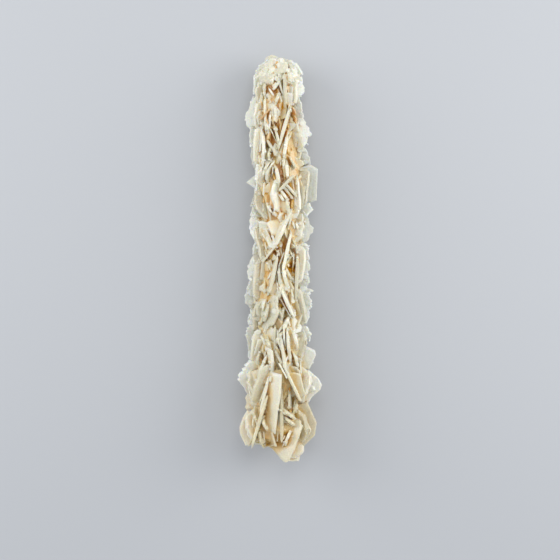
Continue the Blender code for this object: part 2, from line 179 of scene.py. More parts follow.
def sheet(thickness, turn, *rim):
    """A broad crystal of the outline, from the corners of its rim, (height, sideways), from the top down."""
    height = (rim[0][0] + rim[-1][0]) / 2
    length = rim[0][0] - rim[-1][0]
    stretch = 1 / math.cos(math.radians(turn))
    reaches = [abs(sideways - station_at(up).middle) * stretch for up, sideways in rim]
    reach = max(reaches)
    depth = ROOT_SHARE * reach
    form = [((up - height) / length, 1 - (reach - out) / depth) for (up, _), out in zip(rim, reaches)]
    form += [(-ROOT_WIDTH, 0.0), (ROOT_WIDTH, 0.0)]
    bearing = math.copysign(90 - turn, rim[0][1])
    return Crystal(height, bearing, reach, length, thickness, tuple(form), side_lean(height))


def inner(height, bearing, length, thickness, form=LOBE, proud=1.0, pitch=0):
    """A broad crystal between the front and the outline."""
    reach = proud * station_at(height).half_width
    return Crystal(height, bearing, reach, length, thickness, form, side_lean(height), pitch)


# The crystals that cross each other up the front, from the top down.
FRONT = [front(*row) for row in (
    (147, -4, 38, 6.5, 1.6, 1.02),
    (146, -34, 3, 8, 1.7, 0.95),
    (145, -14, -34, 5.5, 1.2),
    (145, 23, -8, 13, 2.8, 0.98, BLADE),
    (143, 3, 24, 6.5, 1.7, 1.02),
    (138, -10, -3, 8, 1.4, 0.9),
    (136, -2, -5, 9, 1.6, 0.92),
    (136, -27, -3, 13, 1.6, 0.92, BLADE),
    (134, -17, 2, 12, 1.2, 0.93),
    (131, -24, -6, 9, 1.2, 0.9),
    (131, 15, 15, 16, 2.5, 1.05, BLADE),
    (127, -3, -12, 9.5, 1.6),
    (125, -38, -9, 15.5, 3.8, 0.99),
    (124, 14, 9, 12.5, 2, 0.95),
    (120, -24, -2, 6, 1.2),
    (117, 27, -25, 5, 1.2),
    (116, 8, -3, 13.5, 1.7, 0.86),
    (115, 13, -2, 9, 2, 0.97),
    (115, -33, 26, 9, 1.7, 1.02),
    (113, -9, -12, 11, 2.5, 1.04),
    (113, -28, 18, 9.5, 2.4, 0.98, LEAF, -1),
    (110, 9, 45, 7.5, 1.6, 1.07, SLAB),
    (107, 21, -42, 6, 1.7, 1, SLAB),
    (106, 16, -39, 5.5, 1.9, 0.94, SLAB),
    (105, 8, -35, 4.5, 2, 0.92, SLAB),
    (105, 39, 5, 13, 3, 0.92, BLADE, 1),
    (104, 3, -31, 5, 1.6, 0.97),
    (103, -10, -7, 14, 3.8, 1.05, LEAF, -1),
    (100, 16, -11, 10, 2.2, 1.03),
    (100, -25, -30, 5.5, 1.2, 0.97),
    (96, 21, 10, 8.5, 1.3, 1.04),
    (92, 3, 25, 15, 3.4, 1.06, BLADE, 1),
    (88, -13, -19, 6.5, 1.2),
    (87, -26, -19, 8, 1.9, 0.93),
    (84, 40, -23, 7, 1.4, 0.97),
    (83, 15, 14, 15.5, 2.3, 1.06, BLADE),
    (83, -3, -20, 4.5, 1.2, 0.95),
    (83, -20, 39, 8.5, 1.2, 1.02, SLAB),
    (82, 28, -31, 4.5, 1.3, 0.93),
    (78, -24, -21, 5.5, 1.6, 0.96),
    (74, 21, -32, 6, 2.4, 0.95, LOBE),
    (74, -15, 13, 14.5, 3, 1, BLADE),
    (73, 12, -15, 11, 2.2, 1.03),
    (73, 1, -3, 12.5, 1.8, 0.95),
    (72, 41, -2, 17, 2.6, 0.93, BLADE),
    (66, -1, 24, 7, 3.4, 0.97, LOBE),
    (65, 28, 2, 7, 1.3),
    (63, 20, -25, 11, 2.8, 1.05, BLADE),
    (63, -31, 12, 5.5, 1.6, 0.97),
    (59, 10, 11, 8, 3, 0.94),
    (59, 6, -20, 5.5, 2.4),
    (58, -26, 22, 9, 2.3),
    (58, -8, 19, 13, 4.2, 1.04, LEAF, 1),
    (56, 17, 23, 8, 2.4, 1.02),
    (50, 3, 27, 8, 3.2, 1.05),
    (50, 37, -13, 11, 2.4, 0.98),
    (49, -11, 0, 8.5, 3.2, 0.88, SLAB),
    (47, -20, -14, 6.5, 2.2, 0.99),
    (45, 20, -9, 17, 2.3, 1.02),
    (44, 10, -7, 16, 2.9, 1.03, BLADE),
    (42, -1, -27, 7, 3, 0.93, SLAB, 1),
    (41, 34, -19, 8.5, 1.6, 0.98),
    (41, -43, 11, 7, 1.6, 1),
    (40, -16, -1, 10.5, 3.6, 0.97, SLAB, 1),
    (39, -32, 25, 7.5, 2.1, 0.97),
    (33, 18, -24, 14, 1.7, 1.05, SLAB),
    (34, -17, 11, 4.5, 1.6, 0.95),
    (32, -37, 22, 15, 3.2, 1.03, BLADE, -1),
    (28, -27, 13, 15.5, 1.8, 0.98, BLADE),
    (26, 20, 1, 9, 1.3, 1),
    (24, -7, 5, 21.5, 5.4, 1.05, SLAB, 1),
    (24, 10, 12, 5.5, 1.6, 0.9),
    (23, 37, 24, 6.5, 2.1, 0.98),
    (20, 9, -1, 19, 3, 0.92, SLAB),
    (20, 22, -50, 7.5, 1.8, 1.03),
    (17, 24, -52, 7, 2.1, 1),
    (19, -46, -18, 7, 1.8, 1),
    (18, -32, 13, 19.5, 2.5, 1.05, BLADE),
    (17, -25, -18, 5, 1.6, 0.99),
    (12, 18, 28, 7.5, 1.6, 0.96),
    (11.6, -37, -14, 8, 1.8, 0.98),
    (9, 27, 17, 15.5, 3.6, 1.05, BLADE, 1),
)]

# The small ones among them that iron has stained all through, and three more in the dome.
STAINED_ONES = (
    front(138, 44, -31, 6, 0.9, 1.02),
    front(134, 47, -16, 5, 0.9, 0.99),
    front(136, -27, 48, 5, 0.9, 1, SLAB),
    front(134, -22, -24, 3.5, 0.8, 0.98),
    Crystal(157.2, -6, 6.3, 2.6, 1, LOBE, 6, 44),
    Crystal(155.2, -8, 7.9, 2.4, 0.9, LOBE, -8, 34),
    Crystal(152.6, -12, 9.3, 2, 0.9, LOBE, 10, 20),
)

# The broad crystals of the left outline, from the top down.
LEFT = [sheet(*row) for row in (
    (1.8, 14, (158, -5.6), (155.8, -8.3), (151.5, -10.5), (144, -10.8)),
    (1.4, -10, (143.8, -10.6), (140, -12.2), (136.5, -13.9), (133.8, -13.5), (131.4, -11.8)),
    (1.3, 17, (132, -12.3), (127, -12), (123.5, -11.6)),
    (1.3, -7, (124.5, -12), (119, -11.4), (115.4, -10.3)),
    (1.3, 20, (117, -10.3), (106.5, -9.4)),
    (1.2, 4, (113.5, -9.6), (110.2, -13.5), (106.4, -9)),
    (1.3, 14, (106.2, -9.2), (103, -10.3), (97.4, -12.3), (95.8, -11.4)),
    (1.5, -17, (97.4, -11.2), (94.5, -12.4), (91, -12), (87, -10.2)),
    (1.3, 10, (88.5, -10.2), (81.6, -11)),
    (1.3, -14, (82, -10.9), (78, -12.6), (73.3, -13.1), (71.2, -12.2)),
    (1.4, 8, (71.6, -12.4), (67.8, -13.4), (63.2, -14.3), (60.6, -11.8)),
    (1.2, -15, (60.4, -11.7), (55.8, -13.1), (53.4, -12.4)),
    (1.4, 10, (54.2, -12.6), (52, -14), (49.8, -13.8), (44, -12.6)),
    (1.2, -17, (44.6, -12.4), (41.6, -13.1), (39.6, -12.4)),
    (1.9, 12, (41.2, -12.5), (38, -14.5), (34.8, -16.5), (32, -16.4), (26.4, -13.2)),
    (1.4, -17, (27.2, -13.3), (23.5, -13.9), (19.6, -13.2)),
    (2.4, 6, (20.4, -13.3), (17.4, -15), (13.5, -16.3), (10.8, -15.9), (6.4, -13)),
)]

# The broad crystals of the right outline, from the top down.
RIGHT = [sheet(*row) for row in (
    (1.6, 17, (157.9, 3.8), (156.2, 6.8), (151.8, 8.4)),
    (1.3, -14, (152.2, 8.1), (150.9, 9.1), (146.2, 9.2), (143.4, 7.8)),
    (1.3, 20, (144, 7.6), (138, 8.7), (134.4, 9)),
    (1.4, -14, (135.8, 8.7), (132.3, 10.7), (129.3, 12.3), (127.4, 10.8), (123.2, 9.5)),
    (1.3, 10, (123.6, 9.4), (120.6, 11), (117.6, 11.9), (115.2, 11.4)),
    (1.6, 5, (117.4, 11.6), (115.4, 14.8), (109, 14.4), (102.9, 13.9), (101.9, 11.6)),
    (1.2, 14, (102.4, 11.5), (99.6, 13.1), (96.4, 10.6)),
    (1.3, -10, (96.8, 10.6), (93.5, 11.8), (91.4, 13.1), (86.2, 10.2)),
    (1.3, 15, (86.6, 10.2), (84.5, 11.5), (79.4, 11)),
    (1.3, -8, (79.8, 10.8), (76.5, 11.9), (74.4, 11)),
    (1.2, 15, (75, 10.9), (72, 11.5), (68, 10.2)),
    (0.9, -7, (68.8, 9.8), (67.4, 13.3), (65.6, 10.4)),
    (1.4, 14, (66.2, 10.8), (63.4, 12.7), (61.4, 12.3), (60, 11)),
    (1.3, -8, (60.8, 10.8), (57.8, 11.6), (53.8, 10.6)),
    (1.4, 14, (54.4, 10.6), (51, 12.3), (49, 11.9), (46, 10.2)),
    (1.7, 6, (46.3, 9.9), (44.2, 13.6), (42.6, 14.1), (36.2, 11.7)),
    (2, 8, (36.6, 11.2), (33.2, 15.3), (30.4, 16.5), (28.5, 15.6), (25.6, 12), (23.4, 10.6)),
    (2.4, 8, (24, 10.8), (19.6, 12.7), (15.8, 14.4), (10.8, 14), (5.6, 10.2)),
)]

OUTLINE = LEFT + RIGHT

# Those of the outline whose faces and rims are clean.
CLEAN = (LEFT[5], LEFT[16], RIGHT[5], RIGHT[15], RIGHT[16], RIGHT[17])

# The broad crystals that show a face between the front and the outline, left and then right.
BETWEEN = [inner(*row) for row in (
    (145, -62, 10, 1.6, LOBE, 0.98),
    (136, -56, 12, 1.4),
    (124, -60, 15, 1.6, BLADE),
    (112, -60, 11, 1.5, LOZENGE),
    (101, -58, 13, 1.5, LOBE, 1, -10),
    (86, -56, 14, 1.6, BLADE, 0.96),
    (72, -58, 15, 1.6, BLADE),
    (58, -58, 13, 1.6, LOBE),
    (46, -60, 13, 1.5, BLADE),
    (32, -64, 13, 1.9, LOBE, 0.98),
    (14, -62, 14, 2.4, LOBE, 0.98, -8),
    (145, 54, 10, 1.5, BLADE, 0.98),
    (128, 58, 13, 1.5, LOBE),
    (108, 62, 14, 1.5, BLADE, 1.02),
    (93, 58, 13, 1.5, LOBE),
    (78, 58, 14, 1.6, BLADE, 0.98),
    (62, 60, 15, 1.6, BLADE, 0.96),
    (46, 60, 13, 1.6, LOBE),
    (31, 60, 13, 1.9, LOBE, 0.94, -6),
    (14, 58, 15, 2.4, LOBE, 0.96, -10),
)]

# The crystals that close the foot, and those that make the dome on top.
FOOT = [Crystal(*row) for row in (
    (0, 70, 1.6, 6.6, 3.2, BLADE, 0, -84),
    (1.4, 60, 4.4, 9, 2.6, LOBE, 24, -66),
    (1.8, 118, 4.4, 9, 2.4, LOBE, -20, -64),
    (3, 10, 5.4, 10, 2.2, LOBE, 30, -64),
    (4.8, 172, 6, 9, 2.4, LOBE, -28, -62),
    (6.6, -90, 5.8, 10, 2.8, SLAB, 10, -86),
    (8.6, -52, 8.6, 12, 2.4, LOBE, 14, -62),
    (8.2, -134, 9, 12, 2.4, LOBE, -12, -60),
)]
DOME = [Crystal(*row) for row in (
    (160, -90, 1.2, 6, 2.2, LOBE, 0, 88),
    (158.4, 80, 2.6, 6.4, 1.9, LOBE, 22, 76),
    (158.8, -80, 3.6, 7, 1.9, LOBE, -20, 66),
    (157.8, 20, 5.2, 8, 1.9, LOBE, 8, 56),
    (157, -30, 6, 8, 1.9, LOBE, -12, 48),
    (157.8, 130, 5, 8, 1.9, LOBE, 14, 56),
    (157, -150, 5.6, 8, 1.9, LOBE, -14, 52),
    (153, 5, 8.2, 8, 1.9, LOBE, -6, 26),
    (152.5, -38, 8.6, 8, 1.9, LOBE, 12, 22),
    (152.5, 42, 8.4, 8, 1.9, LOBE, -14, 24),
)]

# Where iron has stained the grooves of the front most: height, sideways place and radius.
STAINS = (
    (151, 3.1, 2.4),
    (146, -3, 4.2),
    (140, 0.8, 4),
    (135.5, -5, 2.6),
    (131, 0.2, 4.4),
    (127, -3.5, 3.4),
    (113, 0.2, 4.4),
    (106, 3, 3.4),
    (99.5, 0.6, 4.2),
    (96, 6.7, 3),
    (86, 1.2, 4),
    (81.5, -2, 4.6),
    (76, -6.3, 5),
    (77, 3.5, 4.6),
    (63, 0.8, 3.6),
    (44, 3.1, 4.6),
    (35.5, 5.9, 2.8),
    (27, -3.1, 5),
    (21, -5.5, 4),
    (9, 2, 5),
)

# The hind crystals whose tips the column rests on.
SEATS = [Crystal(*row) for row in (
    (16, 148, 16, 15, 2.4, BLADE, 8),
    (20, -146, 16, 14, 2.4, LEAF, -10),
    (36, 178, 15, 13, 2.2, BLADE, 14),
    (88, 168, 12.6, 13, 2, LOBE, -12),
    (128, 152, 12.4, 12, 1.9, BLADE, 10),
    (134, -154, 12, 12, 1.9, LEAF, -12),
)]

# The crystals grown over the sides and the back: one row round the column at each of these heights.
ROW_HEIGHTS = (144, 133, 122, 111, 100, 89, 79, 69, 59, 49, 39, 29, 19)
ROW_BEARINGS = (108, 138, 168, 198, 228, 256)
ROW_SHIFT = 12  # degrees that every second row is turned
SIDE_INSET = 1.6  # how far the hind crystals at the sides stay inside the outline
HIND_LENGTHS = (9, 16)
HIND_THICKNESSES = (1.2, 2.0)
HIND_LEANS = (12, 34)  # degrees, to one side or the other
HIND_TWIST = 10
HIND_FORMS = (LEAF, BLADE, LOBE, LOZENGE, SLAB)
HIND_REACHES = (0.92, 1.06)  # shares of the column's half width
HIND_SCATTER = (6, 3.5)  # degrees and millimetres that one strays from its place in the row

# Colours go by where a crystal grew: frosted outline, milky front, cream between, honey foot, rusty core.
FROSTED, MILKY, CREAM, HONEY, RUSTY, STAINED = range(6)
FOOT_TOP = 25  # below this height the broad crystals are honey too
RUST_BEARING = 55  # the roots are rusty up to this far from the front, in degrees
RUST_HEIGHTS = (-45, 5)  # up the column, from all dun to all rust, counted from its middle
WARM_HEIGHTS = (-40, -58)  # down to the foot, from clean to warmest, counted in the same way
STAIN_PLACE = 0.78  # where a stain's middle lies between the axis and the outline
STAIN_STEEPNESS = 1.5  # how soon a stain is at its full strength, inwards from its edge
CORE_BEHIND = 5.0  # the core counts as this far behind any crystal's rim
END_DEPTH = 14  # under the dome and over the foot, depth goes by the distance from the end
SHELTER_REACH = 4  # neighbours nearer than this shelter a spot
SHELTER_RAYS = 20
SHELTER_START = 0.05  # a ray starts this far above its spot
LEAST_SLOPE = 0.1  # sine of the least angle between a ray and the surface

# Every crystal's shape
ROOT_LINE = 0.3  # an outline's corners below this share of its depth have no rim
THIN = 0.8  # a crystal thinner than this has its bevel on one side only
THICK = 1.5  # and one thicker than this has a flat edge between its two bevels
FLAT_SHARE = 0.55  # of a thick one's edge that stays flat
RIDGE_SHIFT = 0.16  # how far the rim strays from the middle plane, as a share of the thickness
CORNER_SHIFT = 0.02  # how far an outline's corners stray, as a share of the crystal's size
SCALLOP = 0.05  # and how far a rim's extra corners stray
EXTRA_SHIFT = 0.25  # and how far those stray along the rim, as a share of their distance
BEVEL_SHARE = 0.42  # a bevel's width as a share of the thickness
BEVEL_MOST = 0.5  # but never wider than this
LEAST_INSIDE = 0.62  # of the outline that a bevel leaves
TAPERS = {LEAF: 0.7, BLADE: 0.52, LOZENGE: 0.55, LOBE: 0.5, SLAB: 0.28}  # thickness lost towards either end
FLOOR_GAP = 0.3  # least height of a hind crystal that the column doesn't rest on
LONGEST_EDGE = 2.6  # longer ones are split, so that stain and the painted shade of sheltered creases can change between their ends

# The thin crystals on the faces of the large ones
FACE_GAPS = (0.35, 0.9)  # from the face to the middle of the thin one
FACE_SIZES = (0.3, 0.8)  # its length as a share of the other's
FACE_THICKNESSES = (0.45, 0.95)
FACE_SINKS = (0, 2.6)  # how much less far out it reaches
FACE_ROOM = 0.6  # share of its length that stays within the other's
OUTLINE_SINKS = (0.5, 2.6)  # the same on a crystal of the outline
OUTLINE_ROOM = 1.3
FACE_TURNS = (14, 7)  # degrees that it may lean and twist from the other

# Chips on the broad faces
CHIP_LENGTHS = (0.9, 2.5)
CHIP_THICKNESSES = (0.35, 0.75)
CHIP_SPREAD = 0.42  # share of the large crystal's length, either way
CHIP_DEPTHS = (0.3, 0.97)  # shares of its depth
CHIP_CURVE = 0.8  # how the depths give way towards the two ends
CHIP_RISES = (0.05, 0.35)  # how far one stands out of its face
CHIP_TILT = 58  # degrees that it may lean over
CHIP_SPIN = 2.7  # turns round itself for each turn round the face's own direction
CHIP_ROOT = 0.7  # how much deeper one is than half its length

# Teeth along the rims
TOOTH_LENGTHS = (1.0, 2.6)
TOOTH_THICKNESSES = (0.35, 0.8)
TOOTH_LINE = 0.4  # they stand on the outline's corners above this share of its depth
TOOTH_STEPS = (0.1, 0.9)  # where one stands in its share of the rim
TOOTH_SHIFT = 0.4  # how far from the rim's middle, as a share of the thickness
TOOTH_TURNS = (26, 24)  # degrees that it may lean and twist
TOOTH_RISES = (-0.35, 0.2)  # how far one stands out of the rim
TOOTH_ROOT = 0.8  # how much deeper one is than its length

# Small crystals in the grooves of the front
GROOVE_HEIGHTS = (20, 148, 50)  # lowest, highest and most crowded
GROOVE_BEARING = 28  # degrees, the standard deviation
GROOVE_REACHES = (0.64, 0.93)  # shares of the column's half width
GROOVE_LENGTHS = (5, 11)
GROOVE_THICKNESSES = (0.6, 1.3)
GROOVE_TWIST = 58  # degrees, either way

# Stubs between the roots and over the dome. The reaches are shares of the core's or the dome's radius. The
# last three numbers are degrees either way.
Growth = namedtuple("Growth", "reaches lengths thicknesses forms lean pitch twist")
ROOTS = Growth((1.04, 1.26), (3, 8), (0.7, 1.5), HIND_FORMS, 24, 20, 60)
DRUSE = Growth((0.92, 0.98), (3.5, 7.5), (1.8, 3.4), (LOBE, LOBE, LEAF), 80, 12, 20)
LEAST_REACH = 0.3
DOME_BASE = 149.5  # height where the dome starts
DOME_RISE = 9.4
DOME_END = 0.995  # sine of the steepest place on the dome, just off its middle
FINE_ENDS = (1.5, 156.5)  # no chip, tooth or face crystal has its tip outside these heights
FINE_MARGIN = 0.5  # or farther than this outside the outline

# How crowded the fine crystals are on smooth, broad and other large ones. Those near both ends are smooth.
SMOOTH_ENDS = (38, 144)
Crowding = namedtuple("Crowding", "smooth broad other")
CHIP_CROWDING = Crowding(0.4, 1.4, 0.7)
TOOTH_CROWDING = Crowding(0.12, 1.5, 0.5)

# Tones run from -1, dark, to 1 on large crystals. A fine one's strays from its large one's.
FACE_TONES = (-0.5, 0.5)
CHIP_TONES = (-0.7, 0.7)
TOOTH_TONES = (-0.5, 0.7)

# A crystal placed in the part's frame, with its own directions. A grown one also has its tint and tone, its
# rim's extra corners, and whether the column rests on it.
Plate = namedtuple("Plate", "tip outward along across length depth thickness form")
Grown = namedtuple("Grown", "plate tint tone extra rests", defaults=(0, False))


def swing(chance, most):
    return chance.uniform(-most, most)


def either_lean(chance):
    return chance.uniform(*HIND_LEANS) * chance.choice((-1, 1))


def turned(first, second, degrees):
    """Two directions at right angles, after a turn that takes the first one towards the second."""
    angle = math.radians(degrees)
    towards = first * math.cos(angle) + second * math.sin(angle)
    return towards, second * math.cos(angle) - first * math.sin(angle)


def hind_crystals(chance):
    """Crystals of like sizes spread over the sides and the back, no two rows in line."""
    found = []
    for row, height in enumerate(ROW_HEIGHTS):
        for bearing in ROW_BEARINGS:
            around = bearing + (ROW_SHIFT if row % 2 else 0) + swing(chance, HIND_SCATTER[0])
            place = height + swing(chance, HIND_SCATTER[1])
            inset = SIDE_INSET * abs(math.sin(math.radians(around)))
            reach = station_at(place).half_width * chance.uniform(*HIND_REACHES) - inset
            length = chance.uniform(*HIND_LENGTHS)
            thickness = chance.uniform(*HIND_THICKNESSES)
            lean = either_lean(chance)
            form = chance.choice(HIND_FORMS)
            twist = swing(chance, HIND_TWIST)
            found.append(Crystal(place, around, reach, length, thickness, form, lean, 0, twist))
    return found


def face_crystals(one, count, chance):
    """Thin crystals that grew against a broad one's two faces, nearly in line with it."""
    found = []
    outline = one in OUTLINE
    room, sinks = (OUTLINE_ROOM, OUTLINE_SINKS) if outline else (FACE_ROOM, FACE_SINKS)
    forms = (LEAF, LOBE, LOZENGE) if outline else (one.form, LEAF, LOBE, SLAB)
    arm = max(one.reach, 4)
    lean = math.radians(one.lean)
    for k in range(count):
        gap = one.thickness / 2 + chance.uniform(*FACE_GAPS)
        length = one.length * chance.uniform(*FACE_SIZES)
        slide = swing(chance, 0.5) * (one.length - length * room)
        turn = math.degrees(gap / arm) * (1 if k % 2 else -1)
        found.append(one._replace(
            height=one.height + slide * math.cos(lean),
            bearing=one.bearing + turn + math.degrees(slide * math.sin(lean) / arm),
            reach=one.reach - chance.uniform(*sinks),
            length=length,
            thickness=chance.uniform(*FACE_THICKNESSES),
            form=chance.choice(forms),
            lean=one.lean + swing(chance, FACE_TURNS[0]),
            twist=one.twist + swing(chance, FACE_TURNS[1]),
        ))
    return found


def stub(kind, height, bearing, radius, pitch, chance):
    """A stub of one kind, whose pitch strays from the given one."""
    reach = max(radius * chance.uniform(*kind.reaches), LEAST_REACH)
    length = chance.uniform(*kind.lengths)
    thickness = chance.uniform(*kind.thicknesses)
    form = chance.choice(kind.forms)
    lean = swing(chance, kind.lean)
    pitch += swing(chance, kind.pitch)
    return Crystal(height, bearing, reach, length, thickness, form, lean, pitch, swing(chance, kind.twist))


def groove_crystals(count, chance):
    """Small crystals between the large ones of the front, edge to the front like them."""
    found = []
    for _ in range(count):
        height = chance.triangular(*GROOVE_HEIGHTS)
        bearing = chance.gauss(0, GROOVE_BEARING)
        reach = station_at(height).half_width * chance.uniform(*GROOVE_REACHES)
        length = chance.uniform(*GROOVE_LENGTHS)
        thickness = chance.uniform(*GROOVE_THICKNESSES)
        form = chance.choice(HIND_FORMS)
        lean = either_lean(chance)
        twist = swing(chance, GROOVE_TWIST) - FACING_SHARE * bearing
        found.append(Crystal(height, bearing, reach, length, thickness, form, lean, 0, twist))
    return found


def root_druse(count, chance):
    """Small stubs that cover the core between the roots of the large crystals."""
    found = []
    for _ in range(count):
        height = chance.uniform(CORE_ENDS[0], CORE_ENDS[1] - 2)
        radius = CORE_FILL * CORE_SHARE * station_at(height).half_width
        found.append(stub(ROOTS, height, swing(chance, 180), radius, 0, chance))
    return found


def dome_druse(count, chance):
    """Short, stubby crystals in all directions over the dome, packed into a crust."""
    found = []
    for _ in range(count):
        rise = math.degrees(math.asin(chance.uniform(0.0, DOME_END)))
        height = DOME_BASE + DOME_RISE * math.sin(math.radians(rise))
        around = station_at(DOME_BASE).half_width * math.cos(math.radians(rise))
        found.append(stub(DRUSE, height, swing(chance, 180), around, rise, chance))
    return found


def placed(one):
    """The plate of a crystal that stands on the column."""
    bearing = math.radians(one.bearing)
    radial = Vector((math.sin(bearing), 0, math.cos(bearing)))
    outward, along = turned(radial, Vector((0, 1, 0)), one.pitch)
    along, across = turned(along, along.cross(outward), one.lean)
    outward, across = turned(outward, across, one.twist)
    tip = axis_point(one.height) + one.reach * radial
    depth = max(ROOT_SHARE * abs(one.reach), LEAST_DEPTH)
    return Plate(tip, outward, along, across, one.length, depth, one.thickness, one.form)


def on_plate(plate, a, o):
    """The point of a plate's middle plane at a place of its outline."""
    return plate.tip + plate.along * a * plate.length + plate.outward * (o - 1) * plate.depth


def chips(plate, count, chance):
    """Small crystals that stand on a broad one's two faces, at all angles."""
    found = []
    for k in range(count):
        a = swing(chance, CHIP_SPREAD)
        o = chance.uniform(*CHIP_DEPTHS) - CHIP_CURVE * a * a
        normal = plate.across * (1 if k % 2 else -1)
        spot = on_plate(plate, a, o) + normal * plate.thickness / 2
        tilt = chance.uniform(0, CHIP_TILT)
        roll = chance.uniform(0, math.tau)
        outward, along = turned(normal, Matrix.Rotation(roll, 3, normal) @ plate.along, tilt)
        along = Matrix.Rotation(roll * CHIP_SPIN, 3, outward) @ along
        length = chance.uniform(*CHIP_LENGTHS)
        tip = spot + outward * chance.uniform(*CHIP_RISES)
        thickness = chance.uniform(*CHIP_THICKNESSES)
        depth = length / 2 + CHIP_ROOT
        found.append(Plate(tip, outward, along, along.cross(outward), length, depth, thickness, CHIP))
    return found


def rim_teeth(plate, count, chance):
    """Small crystals in a row along a broad one's outer rim."""
    rim = [point for point in plate.form if point[1] > TOOTH_LINE]
    found = []
    for k in range(count):
        spot = (k + chance.uniform(*TOOTH_STEPS)) / count * (len(rim) - 1)
        i = int(spot)
        a, o = (start + (end - start) * (spot - i) for start, end in zip(rim[i], rim[i + 1]))
        tip = on_plate(plate, a, o) + plate.across * swing(chance, TOOTH_SHIFT) * plate.thickness
        lean, twist = (swing(chance, most) for most in TOOTH_TURNS)
        outward, across = turned(plate.outward, plate.across, twist)
        along, outward = turned(plate.along, outward, lean)
        length = chance.uniform(*TOOTH_LENGTHS)
        tip += outward * chance.uniform(*TOOTH_RISES)
        thickness = chance.uniform(*TOOTH_THICKNESSES)
        found.append(Plate(tip, outward, along, across, length, length + TOOTH_ROOT, thickness, CHIP))
    return found


def uneven_outline(form, extra, chance):
    """An outline, counter-clockwise, with its corners moved a little and extra ones along its outer rim."""
    outline = []
    for (a, o), (b, p) in zip(form, form[1:] + form[:1]):
        outline.append((a + swing(chance, CORNER_SHIFT), o - chance.uniform(0, CORNER_SHIFT)))
        if min(o, p) < ROOT_LINE:
            continue
        for k in range(extra):
            share = (k + 1 + swing(chance, EXTRA_SHIFT)) / (extra + 1)
            swell = 1 + swing(chance, SCALLOP)
            outline.append(((a + (b - a) * share) * swell, (o + (p - o) * share) * swell))
    area = sum(a * p - b * o for (a, o), (b, p) in zip(outline, outline[1:] + outline[:1]))
    return outline if area > 0 else outline[::-1]


def plate_rings(plate, extra, chance):
    """The rim of a plate and its broad faces: two rings of points for a thin one, up to four for a thick one.

    Each point comes with its distance behind the plate's rim.
    """
    outline = uneven_outline(plate.form, extra, chance)
    centre_a = sum(a for a, _ in outline) / len(outline)
    centre_o = sum(o for _, o in outline) / len(outline)
    ridge = swing(chance, RIDGE_SHIFT) * plate.thickness
    half = plate.thickness / 2
    size = min(plate.length, plate.depth) / 2
    taper = TAPERS.get(plate.form, 0.0)

    def ring(share, offset):
        points = []
        for a, o in outline:
            forth = (centre_a + (a - centre_a) * share) * plate.length
            out = (centre_o + (o - centre_o) * share - 1) * plate.depth
            behind = (1 - share) * size if o > ROOT_LINE else plate.depth
            thinner = 1 - taper * min(1.0, (2 * a * share) ** 2)
            spot = plate.tip + plate.along * forth + plate.outward * out + plate.across * offset * thinner
            points.append((spot, behind))
        return points

    inside = max(LEAST_INSIDE, 1 - min(BEVEL_SHARE * plate.thickness, BEVEL_MOST) / size)
    if plate.thickness < THIN:
        return ring(inside, half), ring(1, -half)
    flat = half * FLAT_SHARE
    edges = (ridge,) if plate.thickness < THICK else (ridge + flat, ridge - flat)
    return ring(inside, half), *(ring(1, edge) for edge in edges), ring(inside, -half)


def plate_object(grown, materials, chance, shelf):
    """One closed, bevelled plate, clear of the floor or touching it if the column rests on it."""
    rings = plate_rings(grown.plate, grown.extra, chance)
    points = [point for ring in rings for point in ring]
    lowest = min(point.z for point, _ in points)
    lift = -lowest if grown.rests else max(0.0, FLOOR_GAP - lowest)
    corners = [(point + Vector((0, 0, lift))) * METRES for point, _ in points]
    count = len(rings[0])
    last = count * (len(rings) - 1)
    faces = [tuple(range(count)), tuple(range(last + count - 1, last - 1, -1))]
    for start in range(0, last, count):
        for i in range(count):
            j = (i + 1) % count
            faces.append((start + count + i, start + count + j, start + j, start + i))
    data = bpy.data.meshes.new("crystal")
    data.from_pydata(corners, [], faces)
    dress(data, materials, grown.tint, grown.tone, [points[i][1] for face in faces for i in face])
    shelf.objects.link(bpy.data.objects.new("crystal", data))


def store(data, domain, name, values):
    """Adds an attribute, a number for each face, each face's corner or each point, for the finish to use."""
    data.attributes.new(name, "FLOAT", domain).data.foreach_set("value", np.asarray(values, np.float32))


def dress(data, materials, tint, tone, behind):
    """Gives a mesh its finish: its material, its own tone, and each corner's distance behind the rim."""
    for material in materials:
        data.materials.append(material)
    data.polygons.foreach_set("material_index", [tint] * len(data.polygons))
    store(data, "FACE", "tone", [tone] * len(data.polygons))
    store(data, "CORNER", "behind", behind)


def new_object(name, data):
    made = bpy.data.objects.new(name, data)
    bpy.context.scene.collection.objects.link(made)
    return made


def core_object(materials, chance):
    """The lumpy rod in the middle, which every crystal is rooted in."""
    low, high = CORE_ENDS
    mesh = bmesh.new()
    loops = []
    for height in (low, *(station.height for station in STATIONS if low < station.height < high), high):
        width = station_at(height).half_width
        loop = []
        for i in range(CORE_SIDES):
            radius = CORE_SHARE * width * chance.uniform(1 - CORE_LUMPS, 1 + CORE_LUMPS)
            turn = math.tau * i / CORE_SIDES
            spot = axis_point(height) + CORE_FILL * radius * Vector((math.cos(turn), 0, math.sin(turn)))
            loop.append(mesh.verts.new(spot * METRES))
        loops.append(loop)
    for lower, upper in zip(loops, loops[1:]):
        for i in range(CORE_SIDES):
            j = (i + 1) % CORE_SIDES
            mesh.faces.new((lower[i], lower[j], upper[j], upper[i]))
    mesh.faces.new(loops[0])
    mesh.faces.new(loops[-1])
    bmesh.ops.recalc_face_normals(mesh, faces=mesh.faces)
    bmesh.ops.triangulate(mesh, faces=mesh.faces)
    data = bpy.data.meshes.new("crystals")
    mesh.to_mesh(data)
    mesh.free()
    dress(data, materials, RUSTY, 0.0, [CORE_BEHIND] * len(data.loops))
    return new_object("crystals", data)


